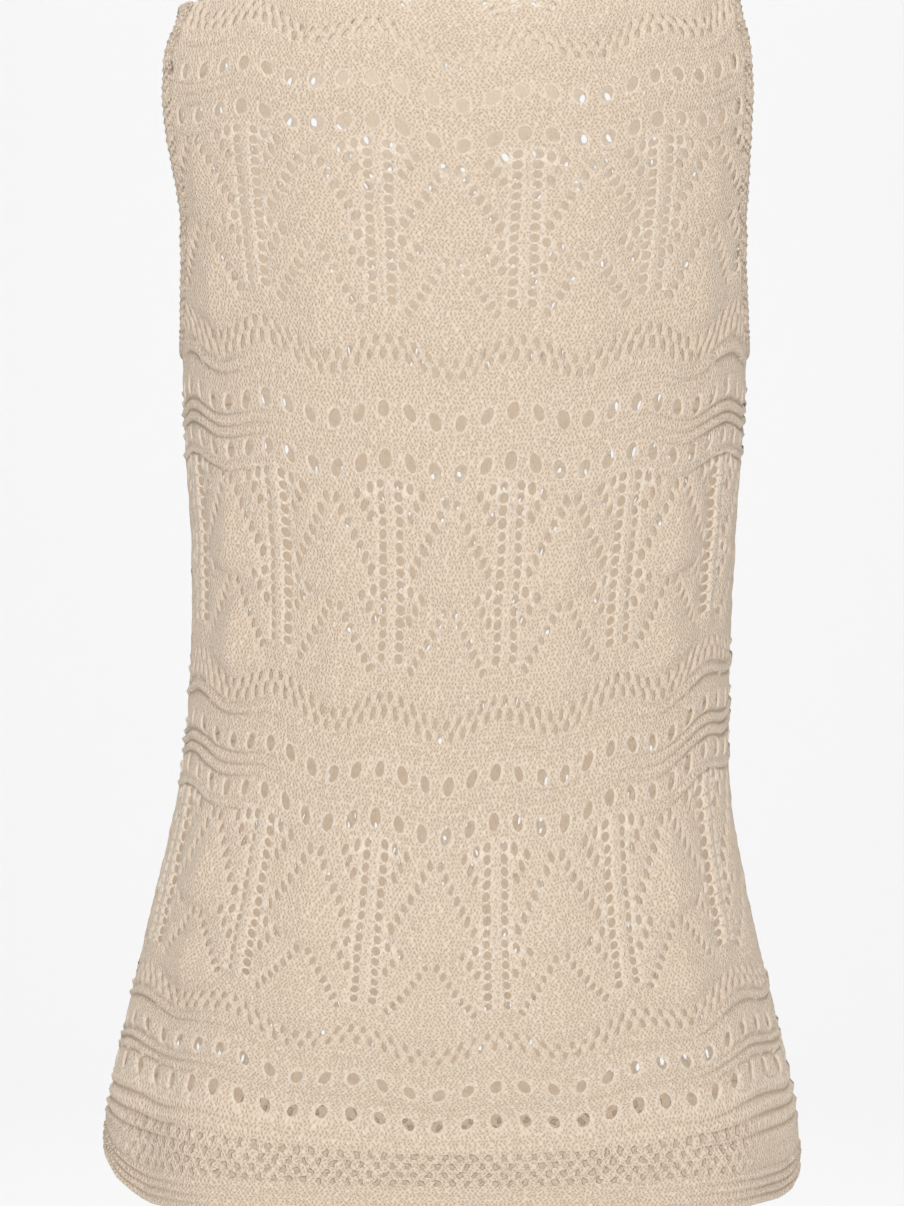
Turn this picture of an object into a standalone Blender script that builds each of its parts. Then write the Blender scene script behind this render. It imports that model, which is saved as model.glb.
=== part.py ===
"""Sleeveless lace-knit top, hollow, in the form it has when it is worn.

Metres, +Z up. The origin lies midway between the shoulders, level with the middle of
the two shoulder seams, where a wearer carries the garment. The back faces -Y and the
front faces +Y. Each knitted piece is one closed wall: back, front, neck band and the
two armhole bands.
"""

import math

import bmesh
import bpy
import numpy as np

# ---------------------------------------------------------------- driving sizes, metres
WALL = 0.002  # thickness of the knitted cloth
SEAM_GAP = 0.0003  # between two pieces at a seam
BAND_WIDTH = 0.0065  # rolled edge round neck and armholes
BAND_THICK = 0.0034
BAND_SQUARENESS = 0.7  # 1 is an oval section, less is a squarer one

TOP_LINE = 0.031  # height of the shoulder line, carried in to the centre
YOKE_START = -0.124  # height from which the cloth curves over to the shoulder seams
YOKE_SQUARENESS = 2.5  # 2 is a round yoke, more is a squarer one
SHOULDER_SLOPE = 0.40  # drop of the shoulders for each metre outwards
NAPE_ROUND = 0.050  # the slope starts this softly from the centre
SHOULDER_TILT = 0.050  # one shoulder is worn a little higher than the other

UNDERARM = -0.199  # lowest point of the armhole seam
ARMHOLE_FULL = -0.085  # height from which the armhole keeps its full bite
ARMHOLE_BITE = 25.5  # degrees of the ring that the armhole takes from each panel
ARMHOLE_ROUND = 1.9
# Degrees by which the armhole turns in over the shoulder, and within which height of
# the shoulder line. The two ends are for the -X and the +X side.
SHOULDER_ROUND = (6.5, 5.5)
SHOULDER_ROUND_FROM = (0.032, 0.050)

# The neckline on each panel, in degrees from the panel's centre and ring heights. It is
# widest at the shoulder seams and rounds down to its bottom.
NECK_COLUMNS = ("widest_angle", "widest_height", "bottom", "roundness")
NECKLINES = {
    "back": (30.5, TOP_LINE, -0.010, 2.3),
    "front": (30.5, TOP_LINE, -0.015, 2.3),
}
NECK_CORNER = 0.80  # share of the widest angle at which the neckline turns upwards
NECK_SAG_REACH = 0.150  # how far below the neckline the rows bend with it

HEM = -0.6385  # ring height at the centre of the hem
# Towards each side seam the hem turns up: from an angle off the panel's centre, and by
# how much at the seam. The two ends are for the -X and the +X side.
HEM_TURN_FROM = (60.0, 72.0)
HEM_TURN_UP = (0.0265, 0.0125)

# The body's rings: each is an ellipse. Depths run from the shoulder plane to the back
# and to the front, and sway is how far the ring's middle lies from the centre line.
RING_COLUMNS = ("height", "half_width", "back_depth", "front_depth", "sway")
BODY_RINGS = (
    (-0.645, 0.1820, 0.119, 0.117, -0.0025),
    (-0.605, 0.1820, 0.119, 0.116, -0.0025),
    (-0.550, 0.1712, 0.116, 0.112, -0.0028),
    (-0.490, 0.1570, 0.110, 0.107, -0.0030),
    (-0.430, 0.1448, 0.104, 0.102, -0.0013),
    (-0.370, 0.1412, 0.100, 0.098, 0.0015),
    (-0.300, 0.1420, 0.101, 0.102, 0.0035),
    (-0.240, 0.1458, 0.106, 0.112, 0.0037),
    (-0.200, 0.1474, 0.110, 0.116, 0.0042),
    (-0.150, 0.1533, 0.113, 0.114, 0.0036),
    (-0.100, 0.1588, 0.113, 0.108, 0.0034),
    (-0.040, 0.1645, 0.113, 0.108, 0.0010),
    (0.031, 0.1645, 0.113, 0.108, 0.0000),
)

# Soft upright folds of the flared lower body. Each starts from nothing at its upper
# height and stands out (or lies in, if negative) by its depth at the hem.
FOLD_COLUMNS = ("panel", "angle", "spread", "depth", "upper")
FOLDS = (
    ("back", -63.0, 9.0, -0.0050, -0.430),
    ("back", -42.0, 11.0, 0.0035, -0.430),
    ("back", 70.0, 9.0, -0.0035, -0.430),
    ("back", 48.0, 12.0, 0.0020, -0.470),
    ("front", -55.0, 10.0, -0.0040, -0.450),
    ("front", 60.0, 10.0, -0.0040, -0.450),
    ("front", 20.0, 14.0, 0.0025, -0.470),
)

CENTRE_COLUMNS = 10  # faces across a panel below its neckline
STRAP_COLUMNS = 9  # faces across each shoulder strap and the panel below it
BODY_ROWS = 16  # faces from the hem to the underarm
ARMHOLE_ROWS = 17  # faces from the underarm to the shoulder
BAND_SIDES = 8

CREAM = (0.690, 0.570, 0.450, 1.0)
CREAM_EDGE = (0.720, 0.600, 0.480, 1.0)


# ---------------------------------------------------------------- the garment's form
def curve_through(x, known_x, known_y):
    """Smooth values at x of the curve through the known points."""
    known_x, known_y = np.asarray(known_x, float), np.asarray(known_y, float)
    slopes = np.gradient(known_y, known_x)
    x = np.clip(x, known_x[0], known_x[-1])
    i = np.clip(np.searchsorted(known_x, x) - 1, 0, len(known_x) - 2)
    span = known_x[i + 1] - known_x[i]
    t = (x - known_x[i]) / span
    a = known_y[i] * (1 + 2 * t) * (1 - t) ** 2 + slopes[i] * span * t * (1 - t) ** 2
    b = known_y[i + 1] * t * t * (3 - 2 * t) - slopes[i + 1] * span * t * t * (1 - t)
    return a + b


def ring_value(column, height):
    """One column of the ring table at any height."""
    rings = sorted(BODY_RINGS)
    k = RING_COLUMNS.index(column)
    return curve_through(height, [r[0] for r in rings], [r[k] for r in rings])


def ease(x, low, high):
    """0 below low, 1 above high, and smooth in between."""
    t = np.clip((x - low) / (high - low), 0, 1)
    return t * t * (3 - 2 * t)


def form_point(panel, angle, height):
    """A point of the cloth's middle surface. The angle is 0 at the centre of the panel
    and 90 degrees at the side seam on +X; height is that of the ring it lies on."""
    angle, height = np.broadcast_arrays(np.radians(angle), np.asarray(height, float))
    rise = np.clip((height - YOKE_START) / (TOP_LINE - YOKE_START), 0, 1)
    yoke = np.maximum(1 - rise**YOKE_SQUARENESS, 0) ** (1 / YOKE_SQUARENESS)
    depth = ring_value(panel + "_depth", height) * yoke
    wide = ring_value("half_width", height)
    swell = np.zeros_like(height)
    for name, at, spread, deep, upper in FOLDS:
        if name == panel:
            near = np.exp(-(((np.degrees(angle) - at) / spread) ** 2))
            swell = swell + deep * near * ease(-height, -upper, -HEM)
    x = (wide + swell) * np.sin(angle)
    y = np.maximum((depth + swell) * np.cos(angle), SEAM_GAP / 2)
    carried = ease(height, UNDERARM, TOP_LINE)
    fall = SHOULDER_SLOPE * (np.hypot(x, NAPE_ROUND) - NAPE_ROUND)
    z = height + carried * (SHOULDER_TILT * x - fall)
    x = x + ring_value("sway", height)
    return np.stack([x, -y if panel == "back" else y, z], axis=-1)


def form_normal(panel, angle, height):
    """The outward direction of the cloth there."""
    step_angle, step_height = 0.2, 0.0004
    height = np.minimum(height, TOP_LINE - 2 * step_height)
    across = form_point(panel, angle + step_angle, height) - form_point(
        panel, angle - step_angle, height
    )
    up = form_point(panel, angle, height + step_height) - form_point(
        panel, angle, height - step_height
    )
    normal = np.cross(across, up)
    if panel == "front":
        normal = -normal
    return normal / np.linalg.norm(normal, axis=-1, keepdims=True)


def armhole_angle(height, side):
    """Where a panel ends at a side, -1 or 1: the side seam, then the armhole."""
    low = np.clip((ARMHOLE_FULL - height) / (ARMHOLE_FULL - UNDERARM), 0, 1)
    bite = ARMHOLE_BITE * np.maximum(1 - low**ARMHOLE_ROUND, 0) ** (1 / ARMHOLE_ROUND)
    end = 0 if side < 0 else 1
    over = SHOULDER_ROUND[end] * ease(height, TOP_LINE - SHOULDER_ROUND_FROM[end], TOP_LINE)
    return np.where(height < UNDERARM, 90.0, 90.0 - bite - over)


def neck_angle(panel, height):
    """Half the opening's width, in degrees, at a height on the neckline."""
    widest, level, bottom, roundness = NECKLINES[panel]
    low = np.clip((level - height) / (level - bottom), 0, 1)
    return widest * (1 - low**roundness) ** (1 / roundness)


def neck_height(panel, angle):
    """The height of the neckline's lower part at an angle from the panel's centre."""
    widest, level, bottom, roundness = NECKLINES[panel]
    out = np.clip(np.abs(angle) / widest, 0, 1)
    return level - (level - bottom) * (1 - out**roundness) ** (1 / roundness)


def hem_height(angle):
    """The hem's ring height at an angle from a panel's centre."""
    turned = [
        rise * ease(sign * angle, start, 92.0)
        for sign, start, rise in zip((-1, 1), HEM_TURN_FROM, HEM_TURN_UP)
    ]
    return HEM + turned[0] + turned[1]


# ---------------------------------------------------------------- panels
def row_heights(panel):
    """Heights of a panel's rows of points at the side, from hem to shoulder, and the
    number of the row at the neckline's corner. Rows crowd where the armhole starts and
    where the cloth curves over the shoulder."""
    low = np.linspace(HEM, UNDERARM, BODY_ROWS + 1)
    turn = np.linspace(0, math.pi, ARMHOLE_ROWS + 1)[1:]
    rows = np.concatenate([low, UNDERARM + (TOP_LINE - UNDERARM) * (1 - np.cos(turn)) / 2])
    corner_height = neck_height(panel, NECK_CORNER * NECKLINES[panel][0])
    corner = int(np.argmin(np.abs(rows - corner_height)))
    rows[corner] = corner_height
    return rows, corner


def panel_points(panel):
    """Angle and height of every point of a panel's grid: columns across, rows up. Above
    the neckline's corner only the columns of the straps are used."""
    rows, corner = row_heights(panel)
    corner_angle = NECK_CORNER * NECKLINES[panel][0]
    inner = np.where(rows < rows[corner], corner_angle, neck_angle(panel, rows))
    share = np.linspace(0, 1, STRAP_COLUMNS + 1)[:, None]
    left, right = (
        inner + (armhole_angle(rows, side) - inner) * share for side in (-1, 1)
    )
    middle = np.linspace(-1, 1, CENTRE_COLUMNS + 1)[1:-1, None] * inner
    angle = np.concatenate([-left[::-1], middle, right])
    height = np.tile(rows, (len(angle), 1))
    height += (hem_height(angle) - HEM) * (1 - ease(rows, HEM, UNDERARM))
    sag = (neck_height(panel, angle) - rows[corner]) * ease(
        rows, rows[corner] - NECK_SAG_REACH, rows[corner]
    )
    centre = slice(STRAP_COLUMNS + 1, STRAP_COLUMNS + CENTRE_COLUMNS)
    height[centre] += sag[centre]
    return angle, height, corner


def seam_normals(points, normals):
    """Normals that lie in the shoulder plane where a panel meets that plane, so that
    the two panels' edges face each other squarely along the side and shoulder seams."""
    on_seam = np.abs(points[..., 1]) < SEAM_GAP
    normals[on_seam, 1] = 0
    return normals / np.linalg.norm(normals, axis=-1, keepdims=True)


def panel_surface(panel):
    """The panel's grid of points and normals, and its corner row."""
    angle, height, corner = panel_points(panel)
    points = form_point(panel, angle, height)
    return points, seam_normals(points, form_normal(panel, angle, height)), corner


def panel_quads(columns, rows, corner):
    """The grid's faces: every one below the corner row, and the straps above it."""
    first_centre, last_centre = STRAP_COLUMNS, STRAP_COLUMNS + CENTRE_COLUMNS
    for i in range(columns - 1):
        for j in range(rows - 1):
            if j < corner or not first_centre <= i < last_centre:
                yield (i, j), (i + 1, j), (i + 1, j + 1), (i, j + 1)


def make_wall(name, points, normals, quads, outward, colour):
    """A closed wall of the cloth's thickness about a grid of points."""
    vertices, number = [], {}
    for corner_point in sorted({c for quad in quads for c in quad}):
        for side in (1, -1):
            number[corner_point, side] = len(vertices)
            vertices.append(points[corner_point] + side * WALL / 2 * normals[corner_point])
    faces, border = [], {}
    for quad in quads:
        quad = quad if outward else quad[::-1]
        faces.append([number[c, 1] for c in quad])
        faces.append([number[c, -1] for c in reversed(quad)])
        for a, b in zip(quad, quad[1:] + quad[:1]):
            if (b, a) in border:
                del border[b, a]
            else:
                border[a, b] = True
    for a, b in border:
        faces.append([number[b, 1], number[a, 1], number[a, -1], number[b, -1]])
    return make_object(name, vertices, faces, colour)


# ---------------------------------------------------------------- rolled edges
def neck_edge():
    """Points and normals once round the neckline, back then front."""
    loop = []
    for panel in ("back", "front"):
        points, normals, corner = panel_surface(panel)
        left, right = STRAP_COLUMNS, STRAP_COLUMNS + CENTRE_COLUMNS
        top = points.shape[1] - 1
        path = [(left, j) for j in range(top, corner, -1)]
        path += [(i, corner) for i in range(left, right + 1)]
        path += [(right, j) for j in range(corner + 1, top + 1)]
        if panel == "front":
            path.reverse()
        loop += [(points[p], normals[p]) for p in path]
    return loop


def armhole_edge(side):
    """Points and normals once round one armhole; side is -1 or 1."""
    loop = []
    for panel in ("back", "front"):
        points, normals, _ = panel_surface(panel)
        column = 0 if side < 0 else points.shape[0] - 1
        path = [(column, j) for j in range(BODY_ROWS, points.shape[1])]
        if panel == "front":
            path.reverse()
        loop += [(points[p], normals[p]) for p in path]
    return loop


def meet_at_seams(loop):
    """The same loop with the pairs of points that face each other across a seam made
    one point, so that the band runs on smoothly over the seam."""
    merged = []
    for k, (point, normal) in enumerate(loop):
        before = loop[k - 1]
        after = loop[(k + 1) % len(loop)]
        if np.linalg.norm(point - before[0]) < 2 * SEAM_GAP:
            continue
        if np.linalg.norm(point - after[0]) < 2 * SEAM_GAP:
            point, normal = (point + after[0]) / 2, normal + after[1]
        merged.append((point, normal / np.linalg.norm(normal)))
    return merged


def make_band(name, loop, colour):
    """A rolled edge: a rounded strip that follows a loop, just outside the panels."""
    loop = meet_at_seams(loop)
    points = np.array([p for p, _ in loop])
    normals = np.array([n for _, n in loop])
    along = np.roll(points, -1, 0) - np.roll(points, 1, 0)
    along /= np.linalg.norm(along, axis=1, keepdims=True)
    out = np.cross(along, normals)
    out /= np.linalg.norm(out, axis=1, keepdims=True)
    to_middle = points.mean(0) - points
    if (out * to_middle).sum() < 0:
        out = -out
    middle = points + out * (SEAM_GAP + BAND_WIDTH / 2)
    vertices, faces = [], []
    for k in range(len(loop)):
        for s in range(BAND_SIDES):
            turn = 2 * math.pi * (s + 0.5) / BAND_SIDES
            wide = math.copysign(abs(math.cos(turn)) ** BAND_SQUARENESS, math.cos(turn))
            high = math.copysign(abs(math.sin(turn)) ** BAND_SQUARENESS, math.sin(turn))
            vertices.append(
                middle[k]
                + out[k] * wide * BAND_WIDTH / 2
                + normals[k] * high * BAND_THICK / 2
            )
    for k in range(len(loop)):
        for s in range(BAND_SIDES):
            a, b = k * BAND_SIDES, (k + 1) % len(loop) * BAND_SIDES
            t = (s + 1) % BAND_SIDES
            faces.append([a + s, a + t, b + t, b + s])
    return make_object(name, vertices, faces, colour)


# ---------------------------------------------------------------- objects
def yarn(name, colour):
    """A matt yarn finish."""
    material = bpy.data.materials.new(name)
    material.use_nodes = True
    shader = material.node_tree.nodes["Principled BSDF"]
    shader.inputs["Base Color"].default_value = colour
    shader.inputs["Roughness"].default_value = 0.85
    shader.inputs["Metallic"].default_value = 0.0
    return material


def make_object(name, vertices, faces, colour):
    """A smooth-shaded closed mesh object whose faces point outwards."""
    mesh = bpy.data.meshes.new(name)
    mesh.from_pydata([tuple(v) for v in vertices], [], faces)
    shape = bmesh.new()
    shape.from_mesh(mesh)
    bmesh.ops.recalc_face_normals(shape, faces=shape.faces)
    if shape.calc_volume(signed=True) < 0:
        bmesh.ops.reverse_faces(shape, faces=shape.faces)
    shape.to_mesh(mesh)
    shape.free()
    mesh.shade_smooth()
    mesh.set_sharp_from_angle(angle=math.radians(50))
    item = bpy.data.objects.new(name, mesh)
    item.data.materials.append(yarn(name + "_yarn", colour))
    bpy.context.scene.collection.objects.link(item)
    return item


def make_panel(panel):
    """The back or the front."""
    points, normals, corner = panel_surface(panel)
    quads = list(panel_quads(points.shape[0], points.shape[1], corner))
    outward = panel == "back"
    return make_wall(panel + "_panel", points, normals, quads, outward, CREAM)


def main():
    for item in list(bpy.context.scene.objects):
        bpy.data.objects.remove(item, do_unlink=True)
    make_panel("back")
    make_panel("front")
    make_band("neck_band", neck_edge(), CREAM_EDGE)
    make_band("armhole_band_left", armhole_edge(-1), CREAM_EDGE)
    make_band("armhole_band_right", armhole_edge(1), CREAM_EDGE)


main()
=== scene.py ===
"""Lace-knit top without sleeves, hollow, in the form it has when it is worn.

Metres, +Z up. The back faces -Y and the front +Y; the origin lies between the shoulders.
Each panel is one shell of lace knit. Its stitches and courses are laid out flat first,
eyelets and ridges included, and the sheet is then wrapped on the worn form.
"""

import math

import bmesh
import bpy
import numpy as np
from bpy.props import (
    FloatProperty,
    FloatVectorProperty,
    IntProperty,
    PointerProperty,
)
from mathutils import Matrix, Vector
from mathutils.geometry import delaunay_2d_cdt


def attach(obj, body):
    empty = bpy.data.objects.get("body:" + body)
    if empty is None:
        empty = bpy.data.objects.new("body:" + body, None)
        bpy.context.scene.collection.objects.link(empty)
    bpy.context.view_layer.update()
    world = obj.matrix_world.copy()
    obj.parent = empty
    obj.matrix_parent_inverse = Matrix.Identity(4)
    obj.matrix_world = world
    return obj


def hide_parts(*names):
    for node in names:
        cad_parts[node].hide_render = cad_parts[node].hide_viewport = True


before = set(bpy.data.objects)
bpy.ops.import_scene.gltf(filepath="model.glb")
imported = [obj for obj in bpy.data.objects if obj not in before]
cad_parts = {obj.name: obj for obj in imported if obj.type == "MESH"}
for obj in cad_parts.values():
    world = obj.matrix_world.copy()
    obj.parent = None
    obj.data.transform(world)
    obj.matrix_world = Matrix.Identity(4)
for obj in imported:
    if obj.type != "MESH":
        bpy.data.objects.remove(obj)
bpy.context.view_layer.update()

bl_info = {
    "name": "Lace Knit Top",
    "version": (1, 0, 0),
    "blender": (4, 5, 0),
    "location": "View3D > Sidebar > Knit Top",
    "description": "Makes a sleeveless lace-knit top in its worn form, with a studio",
    "category": "Object",
}

# ---------------------------------------------------------------- the worn form, metres
TOP_LINE = 0.031  # height of the shoulder line, carried in to the centre
YOKE_START = -0.124  # height from which the cloth curves over to the shoulder seams
YOKE_SQUARENESS = 2.5
SHOULDER_SLOPE = 0.40  # drop of the shoulders for each metre outwards
NAPE_ROUND = 0.050  # the slope starts this softly from the centre
SHOULDER_TILT = 0.050  # one shoulder is worn a little higher than the other
SEAM_GAP = 0.0003  # between two panels at a seam

UNDERARM = -0.199  # lowest point of the armhole seam
ARMHOLE_FULL = -0.085  # height from which the armhole keeps its full bite
ARMHOLE_BITE = 25.5  # degrees of the ring that the armhole takes from each panel
ARMHOLE_ROUND = 1.9
# Degrees by which the armhole turns in over the shoulder, and within which height of
# the shoulder line. The two ends are for the -X and the +X side.
SHOULDER_ROUND = (6.5, 5.5)
SHOULDER_ROUND_FROM = (0.032, 0.050)

# Necklines: degrees from the panel's centre and ring height where they are widest, ring
# height of the bottom, and roundness
NECKLINES = {
    "back": (30.5, TOP_LINE, -0.010, 2.3),
    "front": (30.5, TOP_LINE, -0.015, 2.3),
}
NECK_CORNER = 0.80  # share of the widest angle at which the neckline turns upwards
NECK_SAG_REACH = 0.150  # how far below the neckline the grid bends with it

HEM = -0.6385  # ring height at the centre of the hem
# The hem turns up to the sides, on -X and on +X: from so many degrees, and by how much
HEM_TURN_FROM = (60.0, 72.0)
HEM_TURN_UP = (0.0265, 0.0125)
HEM_TURN_FULL = 92.0  # degrees at which it has its full rise

# Each ring is an ellipse. Sway is how far its middle lies from the centre line.
RING_COLUMNS = ("height", "half_width", "back_depth", "front_depth", "sway")
BODY_RINGS = (
    (-0.645, 0.1820, 0.119, 0.117, -0.0025),
    (-0.605, 0.1820, 0.119, 0.116, -0.0025),
    (-0.550, 0.1712, 0.116, 0.112, -0.0028),
    (-0.490, 0.1570, 0.110, 0.107, -0.0030),
    (-0.430, 0.1448, 0.104, 0.102, -0.0013),
    (-0.370, 0.1412, 0.100, 0.098, 0.0015),
    (-0.300, 0.1420, 0.101, 0.102, 0.0035),
    (-0.240, 0.1458, 0.106, 0.112, 0.0037),
    (-0.200, 0.1474, 0.110, 0.116, 0.0042),
    (-0.150, 0.1533, 0.113, 0.114, 0.0036),
    (-0.100, 0.1588, 0.113, 0.108, 0.0034),
    (-0.040, 0.1645, 0.113, 0.108, 0.0010),
    (0.031, 0.1645, 0.113, 0.108, 0.0000),
)

# Soft upright folds of the flared lower body: panel, angle and spread in degrees, how far
# one stands out at the hem, or lies in where negative, and the height where it starts
FOLDS = (
    ("back", -63.0, 9.0, -0.0050, -0.430),
    ("back", -42.0, 11.0, 0.0035, -0.430),
    ("back", 70.0, 9.0, -0.0035, -0.430),
    ("back", 48.0, 12.0, 0.0020, -0.470),
    ("front", -55.0, 10.0, -0.0040, -0.450),
    ("front", 60.0, 10.0, -0.0040, -0.450),
    ("front", 20.0, 14.0, 0.0025, -0.470),
)

CENTRE_COLUMNS = 44  # faces of the form across a panel below its neckline
STRAP_COLUMNS = 30  # and across each strap and the panel below it
BODY_ROWS = 90  # from the hem to the underarm
ARMHOLE_ROWS = 60  # from the underarm to the shoulder

# ---------------------------------------------------------------- the knitting
REPEAT_STITCHES = 20  # from one leaf's centre to the next, with a spine between them
REPEAT_COURSES = 58  # from one row of large eyelets to the same row of the next tier
PANEL_STITCHES = 61.0  # from a panel's centre to its side seam
TILE_TOP = -4  # course at which a repeat starts, between two ridges
LAST_REPEAT = 170  # course at which the hem's own repeat takes over
HEM_STARTS = 182.0  # course from which the courses begin to follow the hem
HEM_COURSE = 203  # cast-off edge
WAVE = 2.2  # courses by which every row dips from the spines to the leaf centres
DEEP_WAVE = (1.8, 48.0, 5.0)  # more of it round the double eyelet rows: by, at, spread
HEM_LEVELS = (174.0, 193.0)  # courses over which the wave dies out above the hem

# Where the courses lie on the body: a course's height at the panel's centre, and how far
# it climbs 40 stitches out from there on each side, with the power of that climb.
COURSE_COLUMNS = ("course", "height", "left_climb", "left_power", "right_climb", "right_power")
COURSES = (
    (-50.0, 0.0450, 0.060, 1.10, 0.046, 1.65),
    (0.0, -0.0750, 0.060, 1.10, 0.046, 1.65),
    (8.0, -0.0955, 0.052, 1.15, 0.039, 1.80),
    (30.0, -0.1535, 0.031, 1.50, 0.026, 2.00),
    (58.0, -0.2355, 0.011, 2.00, 0.010, 2.00),
    (66.0, -0.2610, 0.012, 2.00, 0.011, 2.00),
    (88.0, -0.3315, 0.016, 2.00, 0.018, 2.00),
    (116.0, -0.4200, 0.021, 1.90, 0.027, 2.00),
    (146.0, -0.5110, 0.023, 1.80, 0.024, 2.00),
    (174.0, -0.5760, 0.022, 1.60, 0.019, 2.00),
    (182.0, -0.5915, 0.018, 1.50, 0.015, 2.00),
    (187.0, -0.6045, 0.013, 1.60, 0.011, 2.20),
    (195.0, -0.6215, 0.006, 1.80, 0.005, 2.50),
    (203.0, -0.6385, 0.000, 2.00, 0.000, 2.50),
)
CLIMB_REACH = 40.0
CLIMB_SLOWS = 0.98  # share of that reach past which the courses level out again
LEVELLING = (0.80, 0.45)  # how much of the climb is lost past it, on -X and on +X
LEVELLING_ROUND = 0.10  # how softly that sets in
CENTRE_LEAF = (-1.3, -0.0115)  # the middle leaf's stitch at course 0, and its drift
# By how much the stitches lie closer to the sides than at the centre, at each height;
# less than nothing where they lie closer at the centre
CLOSENESS = (
    (-0.64, -0.04), (-0.57, -0.06), (-0.48, -0.09), (-0.40, -0.09), (-0.33, -0.08),
    (-0.26, -0.02), (-0.18, 0.045), (-0.10, 0.09),
)

FINE_STITCHES = 3.1  # half columns of yarn loops in a charted stitch
FINE_COURSES = 1.45  # and rows of them in a charted course

# Eyelets of one side of a spine, in runs: stitches from the spine and course of the
# first, the step to the next, how many, half width, half height and lean in degrees
EYELET_RUNS = (
    (1.42, 12.0, 0.0, 2.0, 15, 0.76, 0.84, 0.0),
    (3.2, 12.2, 0.0, 0.0, 1, 0.66, 1.06, 0.0),
    (5.2, 12.6, -0.95, 2.1, 3, 0.62, 1.02, 14.0),
    (9.10, 12.8, -0.93, 2.09, 7, 0.62, 1.02, 18.0),
    (3.2, 28.7, 0.0, 0.0, 1, 0.66, 1.02, 0.0),
    (5.2, 29.1, -1.1, 2.15, 3, 0.60, 0.98, 14.0),
    (9.05, 30.2, -0.90, 1.86, 7, 0.58, 0.90, 18.0),
)
# Rows of eyelets right across: course, first stitch, step, half width, half height
EYELET_ROWS = (
    (0.0, 1.5, 4.0, 1.08, 1.50),
    (8.0, 1.5, 4.0, 1.08, 1.50),
    (48.0, 0.5, 2.0, 0.47, 0.98),
    (50.1, 1.5, 2.0, 0.47, 0.98),
)
HEM_EYELET_ROWS = (
    (174.0, 1.5, 4.0, 1.08, 1.90),
    (182.0, 1.5, 4.0, 1.08, 1.75),
)
ROW_LEAN = 15.0  # degrees by which the rows' eyelets lean to the spines at the top
LARGE_EYELET, SMALL_EYELET = 0.7, 0.5  # half widths over and under which one is so called
LARGE_RIM, SMALL_RIM = 12, 8  # sides of a large eyelet and of any other
EYELET_MARGIN = 0.22  # plain points keep this far from a rim
OPEN_WITHIN = 0.98  # squared share of the way out to a rim within which all is open
# Strength of the painted highlight on the strands round small eyelets, leaning ones and all
# others
SMALL_GLOW, LEANING_GLOW, FULL_GLOW = 0.3, 0.5, 1.0
PITS = (188.2, 194.2)  # courses of the first and the last row of small pits over the hem
PITS_MARGIN = 0.8  # courses that the pits reach past those
PITS_REACH, PITS_FADE = 50.0, 6.0  # stitches from the centre where they end, and die out
PIT_EDGE, PIT_STEEPNESS = 0.30, 2.8
# Stretches of purled ridges, two courses to a ridge: from, to, course of one crest
RIDGE_BANDS = ((1.7, 6.3, 3.0), (9.7, 11.7, 10.6), (51.5, 56.6, 52.6))
HEM_RIDGE_BANDS = ((175.9, 180.3, 177.2), (183.6, 190.6, 184.6), (195.2, 203.0, 196.2))
RIDGE_ONSET = (0.5, 0.3)  # courses outside and inside a band's ends over which it sets in
RIDGE_MARGIN = 0.6  # courses past a band in which the grid's rows are still close
RIDGE_ROW_POINTS = 14  # faces across a repeat in such a row
# Leaves of a repeat: course of the tip and of the foot, half width in stitches
LEAVES = ((12.0, 29.5, 7.0), (30.0, 46.5, 7.2))
LEAF_WIDENS = 1.15  # how soon a leaf is at its widest; at 1 it is so at its foot
LEAF_TIP = 0.2  # half width at the tip, in stitches
LEAF_RISES, LEAF_ENDS = (0.0, 0.7), (0.9, 1.0)  # over these shares of its length
# The upright spines and the hollows beside them: spread in stitches, the courses over
# which they rise and those over which they end
SPINE = (0.7, (10, 13), (41, 45))
HOLLOW = (1.3, (10, 14), (40, 46))
HOLLOW_PLACE = 2.3  # stitches from the middle of the spine
SPINE_SWELL, LEAF_SWELL, HOLLOW_DEPTH = 0.2, 1.2, 0.45  # shares of the leaf height

REPEATS = (8, 4)  # enough repeats to cover a panel, across and down
# How far the knitting's forms show at each course: ridges at the panel's centre and at
# its sides, and the swell of the leaves
RELIEF_COLUMNS = ("course", "ridge_centre", "ridge_side", "leaf")
RELIEF = (
    (-50.0, 0.25, 1.20, 0.40),
    (10.0, 0.30, 1.50, 0.50),
    (45.0, 0.35, 2.20, 0.80),
    (66.0, 0.45, 2.30, 1.10),
    (112.0, 0.60, 2.10, 1.10),
    (124.0, 0.55, 2.00, 1.05),
    (170.0, 0.55, 1.90, 1.00),
    (185.0, 0.55, 1.90, 0.60),
    (203.0, 0.45, 1.80, 0.30),
)
# How far the eyelets open at each course, as shares of their charted size
OPENING_COLUMNS = ("course", "wide", "high")
OPENINGS = (
    (-14.0, 0.50, 0.55),
    (-10.0, 0.85, 0.90),
    (8.0, 1.00, 1.00),
    (40.0, 0.96, 1.00),
    (62.0, 0.92, 1.00),
    (100.0, 0.92, 1.00),
    (120.0, 0.82, 1.00),
    (150.0, 0.80, 0.96),
    (182.0, 0.80, 0.78),
)
SIDE_FROM, SIDE_TO = 26.0, 54.0  # stitches over which the centre turns into the side
SIDE_LEAVES = 1.0  # by how much more the leaves stand out at the sides
SIDE_OPENING = 0.72  # share of an eyelet's width that is left at the sides
EDGE_FADE = (0.003, 0.014)  # the relief dies out over this distance from a rolled edge
SEAM_FADE = (0.012, 0.050)  # and the leaves over this depth from the plane of the seams
# The front's leaves stand between the back's: stitches aside, and courses higher up to
# the first of two courses, which dies out by the second
FRONT_SHIFT = (10.0, 1.7)
FRONT_LEVELS = (110.0, 170.0)
FRONT_OPENING = (0.48, 0.56)  # its eyelets are drawn closer, across and upwards
FRONT_SEED = 5  # sets its unevenness apart from the back's

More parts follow.
